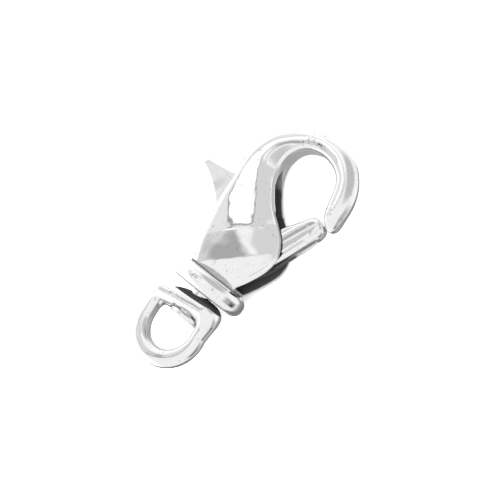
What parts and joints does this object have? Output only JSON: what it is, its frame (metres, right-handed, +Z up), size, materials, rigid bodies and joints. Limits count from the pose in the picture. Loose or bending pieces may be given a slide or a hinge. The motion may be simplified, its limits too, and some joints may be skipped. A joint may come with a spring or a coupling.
{
  "type": "swivel lobster clasp",
  "caption": "Cast swivel lobster clasp with a spring-closed gate lever, thumb tab and a riveted D-shaped swivel ring.",
  "frame": {"origin": "on the ground under the middle of the clasp, as it lies on its collar and the crown of its hook", "axes": "+X from the swivel ring towards the hook, +Y towards the thumb tab, +Z up"},
  "size_m": [0.022, 0.0126, 0.0063],
  "materials": {
    "claw_silver": "polished cast silver",
    "lever_silver": "polished cast silver",
    "ring_silver": "polished cast silver"
  },
  "bodies": {
    "claw": {"claw_body": "claw_silver", "pivot_pin": "claw_silver", "swivel_rivet": "ring_silver"},
    "lever": {"lever": "lever_silver"},
    "ring": {"swivel_ring": "ring_silver"}
  },
  "joints": [
    {"name": "lever_pivot", "type": "hinge", "parent": "claw", "child": "lever", "pos_m": [0.00064, -0.00185, 0.00251], "axis": [0.156, 0.0279, 0.9874], "range_deg": [0, 25], "stiffness_Nm_per_rad": 0.006, "springref_deg": -34.38},
    {"name": "ring_swivel", "type": "hinge", "parent": "claw", "child": "ring", "pos_m": [-0.00569, -0.00055, 0.00348], "axis": [0.9877, 0, -0.1561], "continuous": true}
  ]
}
